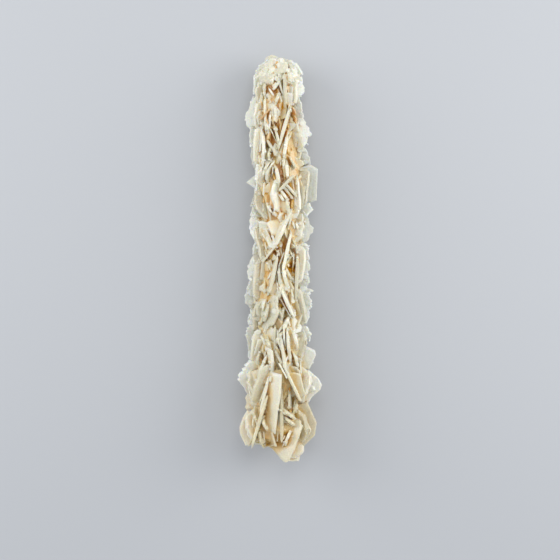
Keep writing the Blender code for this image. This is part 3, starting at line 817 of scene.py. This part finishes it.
def grow_together(column, shelf):
    """Union of the core and every crystal on the shelf, which is emptied."""
    union = column.modifiers.new("grown together", "BOOLEAN")
    union.operation = "UNION"
    union.solver = "MANIFOLD"
    union.operand_type = "COLLECTION"
    union.collection = shelf
    graph = bpy.context.evaluated_depsgraph_get()
    data = bpy.data.meshes.new_from_object(column.evaluated_get(graph))
    column.modifiers.clear()
    column.data = data
    for one in list(shelf.objects):
        bpy.data.objects.remove(one, do_unlink=True)
    bpy.data.collections.remove(shelf)


def rework(data, change):
    """Changes a mesh by a function that works on a bmesh."""
    mesh = bmesh.new()
    mesh.from_mesh(data)
    change(mesh)
    mesh.to_mesh(data)
    mesh.free()


def fill_hollows(mesh):
    """Keeps the outer skin only, which fills the small spaces closed in between crossing crystals."""
    islands = mesh_islands(mesh)
    skin = max(islands, key=len)
    inside = [face for island in islands if island is not skin for face in island]
    bmesh.ops.delete(mesh, geom=inside, context="FACES")


def mesh_islands(mesh):
    """The mesh's faces, in groups that hang together by their edges."""
    unseen = set(mesh.faces)
    islands = []
    while unseen:
        border = [unseen.pop()]
        island = []
        while border:
            face = border.pop()
            island.append(face)
            beside = {other for edge in face.edges for other in edge.link_faces} & unseen
            unseen -= beside
            border += beside
        islands.append(island)
    return islands


def split_long_edges(mesh):
    """Splits the skin's long edges, with triangles throughout."""
    bmesh.ops.triangulate(mesh, faces=mesh.faces)
    for longest in (2 * LONGEST_EDGE, LONGEST_EDGE):
        long = [edge for edge in mesh.edges if edge.calc_length() > longest * METRES]
        bmesh.ops.subdivide_edges(mesh, edges=long, cuts=1)
        bmesh.ops.triangulate(mesh, faces=mesh.faces)


def mark_depth(data):
    """Stores how deep each point lies in the column, how far to the side, and how near a stain's middle."""
    spots = np.empty(len(data.vertices) * 3)
    data.vertices.foreach_get("co", spots)
    x, y, z = spots.reshape(-1, 3).T / METRES
    height = y + LENGTH / 2
    at, middles, half_widths = zip(*STATIONS)
    middle = np.interp(height, at, middles)
    half_width = np.interp(height, at, half_widths)
    rise = AXIS_Z_FOOT + (AXIS_Z_TOP - AXIS_Z_FOOT) * height / LENGTH
    inward = 1 - np.hypot(x - middle, z - rise) / half_width
    endways = np.minimum(height, LENGTH - height) / END_DEPTH
    store(data, "POINT", "depth", np.clip(np.minimum(inward, endways), 0, 1))
    store(data, "POINT", "sideways", np.clip(np.abs(x - middle) / half_width, 0, 1))
    stained = np.zeros(len(height))
    for up, across, radius in STAINS:
        front = axis_point(up).z + STAIN_PLACE * station_at(up).half_width
        away = np.sqrt((height - up) ** 2 + (x - across) ** 2 + (z - front) ** 2)
        stained = np.maximum(stained, np.clip(STAIN_STEEPNESS * (1 - away / radius), 0, 1))
    store(data, "POINT", "stained", stained)


def mark_occlusion_shade(data):
    """Stores how much of its view each point has blocked by crystals near by, from 0 to 1, for painted shade.
    """
    tree = BVHTree.FromPolygons([v.co for v in data.vertices], [p.vertices for p in data.polygons])
    turn = math.pi * (3 - math.sqrt(5))
    rays = []
    for k in range(2 * SHELTER_RAYS):
        up = 1 - (k + 0.5) / SHELTER_RAYS
        side = math.sqrt(1 - up * up)
        rays.append(Vector((side * math.cos(k * turn), side * math.sin(k * turn), up)))
    reach = SHELTER_REACH * METRES
    occlusion_shade = []
    for vertex in data.vertices:
        start = vertex.co + vertex.normal * SHELTER_START * METRES
        blocked = seen = 0.0
        for ray in rays:
            weight = ray.dot(vertex.normal)
            if weight < LEAST_SLOPE:
                continue
            seen += weight
            distance = tree.ray_cast(start, ray, reach)[3]
            if distance is not None:
                blocked += weight * (1 - distance / reach)
        occlusion_shade.append(blocked / seen if seen else 1.0)
    store(data, "POINT", "occlusion_shade", occlusion_shade)


def is_inside(plate):
    """Whether a fine crystal's tip lies inside the column's outline, or only a little outside it."""
    height = plate.tip.y + LENGTH / 2
    at = station_at(height)
    return FINE_ENDS[0] < height < FINE_ENDS[1] and abs(plate.tip.x - at.middle) < at.half_width + FINE_MARGIN


def fine_crystals(one, plate, tint, tone, looks, chance):
    """What grew on a large crystal: thin crystals and chips on its faces, and teeth along its rim."""
    broad = one in OUTLINE or one in BETWEEN
    smooth = one in CLEAN or not SMOOTH_ENDS[0] < one.height < SMOOTH_ENDS[1]
    kind = "smooth" if smooth else "broad" if broad else "other"
    faces = looks.face_count + (1 if broad else 0)
    if one in CLEAN or one in FRONT:
        faces = looks.face_count - 1 if one.thickness > 1 else 0
    chip_count = plate.length * plate.depth * looks.chip_density * getattr(CHIP_CROWDING, kind)
    tooth_count = plate.length * looks.tooth_density * getattr(TOOTH_CROWDING, kind)
    found = []
    for face in face_crystals(one, faces, chance):
        found.append(Grown(placed(face), tint, tone + chance.uniform(*FACE_TONES)))
    for chip in chips(plate, round(chip_count), chance):
        found.append(Grown(chip, tint, tone + chance.uniform(*CHIP_TONES)))
    for tooth in rim_teeth(plate, round(tooth_count), chance):
        found.append(Grown(tooth, tint, tone + chance.uniform(*TOOTH_TONES)))
    return found


def column_plates(looks, chance):
    """Everything that grows on the core, from the large crystals to the fine ones."""
    hind = hind_crystals(chance)
    large = []
    for ones, tint, foot_tint, extra in (
        (SEATS, CREAM, CREAM, 1),
        (FRONT, MILKY, MILKY, 2),
        (OUTLINE, FROSTED, HONEY, 3),
        (BETWEEN, CREAM, HONEY, 2),
        (FOOT, HONEY, HONEY, 1),
        (DOME, MILKY, MILKY, 1),
    ):
        large += [(one, tint if one.height > FOOT_TOP else foot_tint, extra) for one in ones]
    large += [(one, chance.choice((CREAM, MILKY, FROSTED)), 1) for one in hind]
    found = []
    fine = []
    for one, tint, extra in large:
        plate = placed(one)
        tone = swing(chance, 1)
        found.append(Grown(plate, tint, tone, 0 if one in CLEAN else extra, one in SEATS))
        fine += fine_crystals(one, plate, tint, tone, looks, chance)
    found += [grown for grown in fine if is_inside(grown.plate)]
    for one in groove_crystals(looks.groove_count, chance):
        found.append(Grown(placed(one), chance.choice((CREAM, HONEY, HONEY)), swing(chance, 1)))
    for one in root_druse(looks.root_count, chance):
        tints = (CREAM, HONEY, RUSTY) if abs(one.bearing) < RUST_BEARING else (CREAM, CREAM, HONEY)
        found.append(Grown(placed(one), chance.choice(tints), swing(chance, 1)))
    for one in dome_druse(looks.druse_count, chance):
        found.append(Grown(placed(one), MILKY, swing(chance, 1)))
    for one in STAINED_ONES:
        found.append(Grown(placed(one), STAINED, 0.0, 1))
    return found


# What adds to a spot's stain and painted shade, from 0 at a clean rim to about 1 in a deep groove.
STAIN_BEHIND = 0.052  # for each millimetre behind the rim
# painted shade: sheltered creases count as more stained, so they are painted darker towards tan and rust
SHELTER_SHADE_AND_STAIN = 0.58
STAIN_DEPTH = 0.45
STAIN_SIDES = (1.12, -0.62)  # the three together count this much in the middle, plus this much at the sides
STAINED_DEPTH = 1.25  # in the stained grooves
# painted shade in the sheltered creases of the stained grooves, on top of their stain
GROOVE_SHELTER_SHADE_AND_STAIN = 0.35
STAIN_PATCHES = 0.4
STAIN_TONE = 0.05
BODY_PLACES = (0.12, 0.36, 0.60)  # stain at which the colour is the rim's, the body's and tan
RUST_PLACES = (0.76, 1.0)  # rust and deep rust
DUN_PLACES = (0.80, 1.0)
GRAIN = ((0.32, (0.78, 0.76, 0.70)), (0.60, (1, 1, 1)))  # from dark specks to none
GRAIN_SHARE = 0.35
VALUE_BY_TONE = (0.95, 0.13)  # at tone 0, and what the tone adds
SATURATION_BY_TONE = (1.02, -0.22)
ROUGHNESS_BY_CLOUD = 0.5
ROUGHNESS_BY_TONE = 0.08
PIT_SHARE = 0.45  # of the relief
BUMP_STRENGTH = 0.8
BUMP_HEIGHT = 0.3 * METRES
REFRACTION = 1.636  # barite's
COAT = 0.4
COAT_ROUGHNESS = 0.12
GLOW_RADIUS = (1.0, 0.82, 0.52)  # red light travels farthest inside
FLOOR_ROUGHNESS = 0.95

# Noise by its scale and its detail. The bands are stretched, as growth lines along the column.
PATCHES = (90, 2)
CLOUD = (480, 4)
FINE_GRAIN = (1700, 3)
PITS = (2300, 2)
BANDS = (900, 3, (1.0, 0.16, 1.0))


class Nodes:
    """The nodes of a barite material, each made with what it is fed: a value or another node's socket."""

    def __init__(self, material):
        material.use_nodes = True
        self.tree = material.node_tree
        self.place = self.add("TexCoord").outputs["Object"]

    def feed(self, node, feeds):
        for name, value in feeds.items():
            if isinstance(value, bpy.types.NodeSocket):
                self.tree.links.new(value, node.inputs[name])
            else:
                node.inputs[name].default_value = value

    def add(self, kind, feeds=None, **settings):
        made = self.tree.nodes.new("ShaderNode" + kind)
        for name, value in settings.items():
            setattr(made, name, value)
        self.feed(made, feeds or {})
        return made

    def attribute(self, name):
        return self.add("Attribute", attribute_name=name).outputs["Fac"]

    def noise(self, scale, detail, stretch=(1, 1, 1)):
        """Noise over the object's own coordinates; a stretch squeezes it along the column."""
        place = self.add("Mapping", {"Vector": self.place, "Scale": stretch}).outputs["Vector"]
        feeds = {"Vector": place, "Scale": scale, "Detail": detail}
        return self.add("TexNoise", feeds).outputs["Fac"]

    def maths(self, operation, *values):
        return self.add("Math", dict(enumerate(values)), operation=operation).outputs["Value"]

    def total(self, start, *terms):
        """A value with others added to it, each with its weight."""
        for value, weight in terms:
            start = self.maths("MULTIPLY_ADD", value, weight, start)
        return start

    def mix(self, blend, factor, first, second):
        made = self.add("Mix", data_type="RGBA", blend_type=blend)
        places = {socket.identifier: i for i, socket in enumerate(made.inputs)}
        self.feed(made, {places["Factor_Float"]: factor, places["A_Color"]: first, places["B_Color"]: second})
        return next(socket for socket in made.outputs if socket.identifier == "Result_Color")

    def ramp(self, factor, stops):
        made = self.add("ValToRGB", {"Fac": factor})
        elements = made.color_ramp.elements
        while len(elements) < len(stops):
            elements.new(0.5)
        for element, (place, colour) in zip(elements, stops):
            element.position = place
            element.color = (*colour, 1.0)
        return made.outputs["Color"]

    def up_column(self, ends):
        """From 0 at one height to 1 at another, both counted from the column's middle."""
        height = self.add("SeparateXYZ", {"Vector": self.place}).outputs["Y"]
        feeds = {"Value": height, "From Min": ends[0] * METRES, "From Max": ends[1] * METRES}
        return self.add("MapRange", feeds).outputs["Result"]


def barite_stain_and_shade(nodes, patches, cloud, tone):
    """How stained a spot is, by how far behind the rim, how sheltered and how deep it is; shelter adds
    painted shade.
    """
    # occlusion by near crystals, added to the stain as painted shade in creases
    occlusion_shade = nodes.attribute("occlusion_shade")
    depth = nodes.attribute("depth")
    sideways = nodes.attribute("sideways")
    behind = nodes.maths("MULTIPLY", nodes.attribute("behind"), STAIN_BEHIND)
    general_stain_and_shade = nodes.total(behind, (occlusion_shade, SHELTER_SHADE_AND_STAIN), (depth, STAIN_DEPTH))
    middle, sides = STAIN_SIDES
    by_side = nodes.total(middle, (nodes.maths("MULTIPLY", sideways, sideways), sides))
    # the stained grooves' stain by depth, plus painted shade by occlusion
    groove = nodes.total(nodes.maths("MULTIPLY", occlusion_shade, GROOVE_SHELTER_SHADE_AND_STAIN), (depth, STAINED_DEPTH))
    return nodes.total(
        nodes.maths("MULTIPLY", general_stain_and_shade, by_side),
        (nodes.attribute("stained"), groove),
        (patches, STAIN_PATCHES),
        (cloud, STAIN_PATCHES),
        (tone, STAIN_TONE),
    )


def barite_colour(nodes, stain, rim, body, looks):
    """Pale at a rim, its own colour behind that, then tan, and rust or dun where it is stained most,
    sheltered creases included as painted shade.
    """
    paler = tuple(zip(BODY_PLACES, (rim, body, looks.tan)))
    rusty = nodes.ramp(stain, paler + tuple(zip(RUST_PLACES, (looks.rust, looks.deep_rust))))
    dun = nodes.ramp(stain, paler + tuple(zip(DUN_PLACES, (looks.dun, looks.deep_dun))))
    colour = nodes.mix("MIX", nodes.up_column(RUST_HEIGHTS), dun, rusty)
    colour = nodes.mix("MULTIPLY", nodes.up_column(WARM_HEIGHTS), colour, (*looks.warmth, 1.0))
    return nodes.mix("MULTIPLY", GRAIN_SHARE, colour, nodes.ramp(nodes.noise(*FINE_GRAIN), GRAIN))


def barite_material(name, rim, body, looks):
    """Milky crystal: frosted, finely lined along the column, with a thin gloss, light that travels in, and
    painted shade in its creases.
    """
    material = bpy.data.materials.new(name)
    nodes = Nodes(material)
    tone = nodes.attribute("tone")
    patches, cloud = (nodes.maths("SUBTRACT", nodes.noise(*kind), 0.5) for kind in (PATCHES, CLOUD))
    # the stain includes painted shade in sheltered creases
    stain = barite_stain_and_shade(nodes, patches, cloud, tone)
    (value, value_by_tone), (saturation, saturation_by_tone) = VALUE_BY_TONE, SATURATION_BY_TONE
    shade = nodes.add("HueSaturation", {
        "Color": barite_colour(nodes, stain, rim, body, looks),
        "Value": nodes.total(value, (tone, value_by_tone)),
        "Saturation": nodes.total(saturation, (tone, saturation_by_tone)),
    })
    relief = nodes.total(nodes.noise(*BANDS), (nodes.noise(*PITS), PIT_SHARE))
    bump = nodes.add("Bump", {"Strength": BUMP_STRENGTH, "Distance": BUMP_HEIGHT, "Height": relief})
    nodes.feed(nodes.tree.nodes["Principled BSDF"], {
        "Base Color": shade.outputs["Color"],
        "Roughness": nodes.total(looks.roughness, (cloud, ROUGHNESS_BY_CLOUD), (tone, ROUGHNESS_BY_TONE)),
        "Normal": bump.outputs["Normal"],
        "IOR": REFRACTION,
        "Coat Weight": COAT,
        "Coat Roughness": COAT_ROUGHNESS,
        "Subsurface Weight": looks.glow,
        "Subsurface Radius": GLOW_RADIUS,
        "Subsurface Scale": looks.glow_depth,
    })
    return material


def make_materials(looks):
    """The barite's six tints, each with its rims' colour and its body's, in the order of their numbers."""
    return [barite_material(f"barite_{name}", rim, body, looks) for name, rim, body in (
        ("frosted", looks.frosted, looks.milky),
        ("milky", looks.milky, looks.cream),
        ("cream", looks.cream, looks.cream),
        ("honey", looks.cream, looks.tan),
        ("rusty", looks.tan, looks.rust),
        ("stained", looks.rosy, looks.rust),
    )]


def colour(name, description, default):
    return bpy.props.FloatVectorProperty(
        name=name, description=description, default=default, subtype="COLOR", size=3)


def count(name, description, default, most):
    return bpy.props.IntProperty(name=name, description=description, default=default, min=0, max=most)


def number(name, description, default, **kind):
    return bpy.props.FloatProperty(name=name, description=description, default=default, min=0, **kind)


class BariteColumnSettings(bpy.types.PropertyGroup):
    face_count: count("Face crystals", "Thin crystals grown against each broad one", 2, 4)
    tooth_density: number("Rim teeth", "Small crystals for each millimetre of rim", 0.6, max=2)
    chip_density: number("Face chips", "Small crystals for each square millimetre", 0.07, max=0.3)
    groove_count: count("Groove crystals", "Small crystals between the front's large ones", 105, 300)
    root_count: count("Root stubs", "Small crystals on the core, between the roots", 640, 1200)
    druse_count: count("Dome druse", "Short crystals over the domed top", 130, 200)
    frosted: colour("Frosted", "Rims of the outline's crystals", (0.86, 0.87, 0.80))
    milky: colour("Milky", "Rims of the front's crystals", (0.83, 0.80, 0.65))
    cream: colour("Cream", "Body of most crystals", (0.84, 0.80, 0.66))
    tan: colour("Tan", "Lightly stained roots of the crystals", (0.84, 0.67, 0.37))
    rosy: colour("Rosy", "Rims of the crystals that are stained all through", (0.80, 0.52, 0.30))
    rust: colour("Rust", "Iron stain in the upper grooves", (0.76, 0.45, 0.14))
    deep_rust: colour("Deep rust", "The deepest stain in the upper grooves", (0.68, 0.34, 0.07))
    dun: colour("Dun", "Stain in the grooves near the foot", (0.80, 0.60, 0.28))
    deep_dun: colour("Deep dun", "The deepest stain near the foot", (0.72, 0.48, 0.16))
    warmth: colour("Warmth", "What the foot's colour is multiplied by", (0.965, 0.925, 0.845))
    roughness: number("Roughness", "Average roughness of the faces", 0.33, max=1, subtype="FACTOR")
    glow: number("Glow", "Share of the light that travels inside", 0.75, max=1, subtype="FACTOR")
    glow_depth: number("Glow depth", "How far light travels in", 0.0014, subtype="DISTANCE", unit="LENGTH")


class BariteStageSettings(bpy.types.PropertyGroup):
    floor_size: number("Floor size", "Side of the floor", 4.0, subtype="DISTANCE", unit="LENGTH")
    floor_colour: colour("Floor", "Colour of the floor", (0.52, 0.53, 0.545))
    air_colour: colour("Air", "Colour of the light from all round", (0.90, 0.94, 1.0))
    air_strength: number("Air strength", "Strength of the light from all round", 0.70)
    side_power: number("Side lamps", "Power of the soft lamps at either side", 1.14, subtype="POWER")
    top_power: number("Front lamp", "Power of the soft lamp above the front", 0.66, subtype="POWER")
    camera_distance: number("Camera distance", "To where it looks", 0.613, subtype="DISTANCE", unit="LENGTH")
    camera_tip: number("Camera tip", "How far it stands towards the dome", math.radians(4), subtype="ANGLE")
    camera_lens: number("Lens", "Focal length in millimetres", 100.0)


class BARITE_OT_column(bpy.types.Operator):
    """Grow the column's crystals, fuse them into one skin and give them their finish"""

    bl_idname = "barite.column"
    bl_label = "Build column"

    def execute(self, context):
        looks = context.scene.barite_column
        chance = random.Random(SEED)
        materials = make_materials(looks)
        column = core_object(materials, chance)
        shelf = bpy.data.collections.new("loose crystals")
        context.scene.collection.children.link(shelf)
        for grown in column_plates(looks, chance):
            plate_object(grown, materials, chance, shelf)
        grow_together(column, shelf)
        rework(column.data, fill_hollows)
        rework(column.data, split_long_edges)
        mark_depth(column.data)
        # occlusion that the barite's colour paints as shade in its creases
        mark_occlusion_shade(column.data)
        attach(column, "root")
        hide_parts(NODE)
        return {"FINISHED"}


CAMERA_AIM = Vector((-0.0002, -0.0083, 0.0125))  # the point that the camera looks at
SENSOR_WIDTH = 36.0
LAMP_AIM = Vector((0, 0, 0.012))
SIDE_LAMP_SIZE = 0.34
FRONT_LAMP_SIZE = 0.30
LEFT_SHARE = 0.86  # the left lamp's power as a share of the right one's


def soft_lamp(name, place, size, power):
    lamp = new_object(name, bpy.data.lights.new(name, "AREA"))
    lamp.data.shape = "SQUARE"
    lamp.data.size = size
    lamp.data.energy = power
    lamp.location = place
    lamp.rotation_euler = (LAMP_AIM - Vector(place)).to_track_quat("-Z", "Y").to_euler()


class BARITE_OT_stage(bpy.types.Operator):
    """Lay the floor, hang the lamps and set the camera over the column"""

    bl_idname = "barite.stage"
    bl_label = "Build stage"

    def execute(self, context):
        stage = context.scene.barite_stage
        self.lay_floor(stage)
        self.light(context.scene, stage)
        self.set_camera(context.scene, stage)
        return {"FINISHED"}

    def lay_floor(self, stage):
        material = bpy.data.materials.new("floor")
        material.use_nodes = True
        shader = material.node_tree.nodes["Principled BSDF"]
        shader.inputs["Base Color"].default_value = (*stage.floor_colour, 1.0)
        shader.inputs["Roughness"].default_value = FLOOR_ROUGHNESS
        mesh = bmesh.new()
        bmesh.ops.create_grid(mesh, x_segments=1, y_segments=1, size=stage.floor_size / 2)
        data = bpy.data.meshes.new("floor")
        mesh.to_mesh(data)
        mesh.free()
        data.materials.append(material)
        floor = new_object("floor", data)

    def light(self, scene, stage):
        world = bpy.data.worlds.new("air")
        world.use_nodes = True
        background = world.node_tree.nodes["Background"]
        background.inputs["Color"].default_value = (*stage.air_colour, 1.0)
        background.inputs["Strength"].default_value = stage.air_strength
        scene.world = world
        scene.view_settings.view_transform = "Standard"
        soft_lamp("lamp_left", (-0.42, 0.16, 0.26), SIDE_LAMP_SIZE, stage.side_power * LEFT_SHARE)
        soft_lamp("lamp_right", (0.42, 0.13, 0.26), SIDE_LAMP_SIZE, stage.side_power)
        soft_lamp("lamp_front", (0.05, 0.30, 0.60), FRONT_LAMP_SIZE, stage.top_power)

    def set_camera(self, scene, stage):
        camera = new_object("camera", bpy.data.cameras.new("camera"))
        camera.data.lens = stage.camera_lens
        camera.data.sensor_width = SENSOR_WIDTH
        tip = stage.camera_tip
        away = Vector((0, math.sin(tip), math.cos(tip)))
        upward = Vector((0, math.cos(tip), -math.sin(tip)))
        camera.location = CAMERA_AIM + away * stage.camera_distance
        camera.rotation_euler = Matrix((upward.cross(away), upward, away)).transposed().to_euler()
        scene.camera = camera


class BARITE_PT_panel(bpy.types.Panel):
    """Lists the column's and the stage's settings and their operators"""

    bl_idname = "BARITE_PT_panel"
    bl_label = "Barite column"
    bl_space_type = "VIEW_3D"
    bl_region_type = "UI"
    bl_category = "Barite"

    def draw(self, context):
        for settings, operator in (
            (context.scene.barite_column, BARITE_OT_column.bl_idname),
            (context.scene.barite_stage, BARITE_OT_stage.bl_idname),
        ):
            box = self.layout.box()
            for name in settings.__annotations__:
                box.prop(settings, name)
            box.operator(operator)


CLASSES = (BariteColumnSettings, BariteStageSettings, BARITE_OT_column, BARITE_OT_stage, BARITE_PT_panel)


def register():
    for one in CLASSES:
        bpy.utils.register_class(one)
    bpy.types.Scene.barite_column = bpy.props.PointerProperty(type=BariteColumnSettings)
    bpy.types.Scene.barite_stage = bpy.props.PointerProperty(type=BariteStageSettings)


def unregister():
    del bpy.types.Scene.barite_stage
    del bpy.types.Scene.barite_column
    for one in reversed(CLASSES):
        bpy.utils.unregister_class(one)


def main():
    register()
    bpy.ops.barite.column()
    bpy.ops.barite.stage()


if __name__ == "__main__":
    main()
